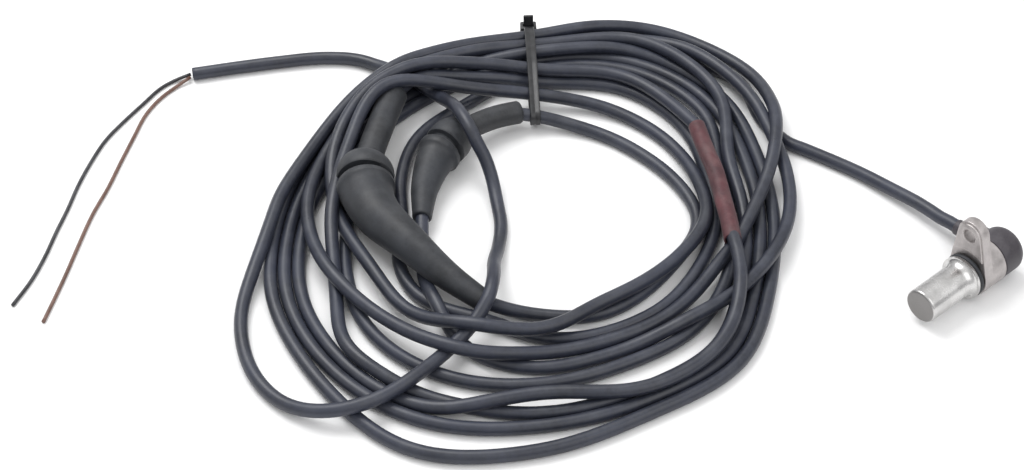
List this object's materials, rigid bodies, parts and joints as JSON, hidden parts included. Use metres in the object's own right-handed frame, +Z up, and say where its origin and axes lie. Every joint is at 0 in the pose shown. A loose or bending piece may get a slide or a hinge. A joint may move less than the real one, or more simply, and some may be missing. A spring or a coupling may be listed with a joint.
{
  "type": "abs wheel speed sensor",
  "caption": "Inductive wheel speed sensor: steel barrel in a cast bracket with bolt ear, angled cable outlet, and its long cable lying in a loose tied coil with grommets and bare wire ends.",
  "frame": {"origin": "middle of the sensor head's box, on the surface that the part lies on", "axes": "-Y is the way the barrel's tip points, +Z up along the bracket's ear, the cable leaves the elbow towards -X"},
  "size_m": [0.3583, 0.3579, 0.0399],
  "materials": {
    "housing_steel": "drawn and turned bright steel, satin",
    "bracket_metal": "cast, lightly tumbled",
    "elbow_plastic": "moulded, fine texture",
    "seal_rubber": "smooth",
    "grommet_rubber": "moulded, matt",
    "cable_jacket": "extruded, satin",
    "wire_black": "extruded, thin insulation",
    "wire_brown": "extruded, thin insulation",
    "sleeve_plastic": "thin sleeve, dull",
    "tie_nylon": "moulded nylon",
    "inner_plastic": "moulded",
    "copper": "enamelled winding wire",
    "brass": "stamped",
    "pole_iron": "turned soft iron",
    "magnet_coat": "plated"
  },
  "bodies": {
    "root": {"sensor_housing": "housing_steel", "mounting_bracket": "bracket_metal", "elbow_cap": "elbow_plastic", "sealing_ring": "seal_rubber", "pole_pin": "pole_iron", "coil_bobbin": "inner_plastic", "winding": "copper", "magnet": "magnet_coat", "contact_carrier": "inner_plastic", "terminal_1": "brass", "terminal_2": "brass", "crimp_1": "brass", "crimp_2": "brass", "core_1": "wire_black", "core_2": "wire_brown", "cable_lead": "cable_jacket", "cable_coil": "cable_jacket", "cable_cross": "cable_jacket", "cable_tail": "cable_jacket", "cable_in_grommet_1": "cable_jacket", "cable_in_grommet_2": "cable_jacket", "cable_in_sleeve": "cable_jacket", "wire_black": "wire_black", "wire_brown": "wire_brown", "grommet_1": "grommet_rubber", "grommet_2": "grommet_rubber", "marking_sleeve": "sleeve_plastic", "cable_tie": "tie_nylon"}
  },
  "joints": []
}
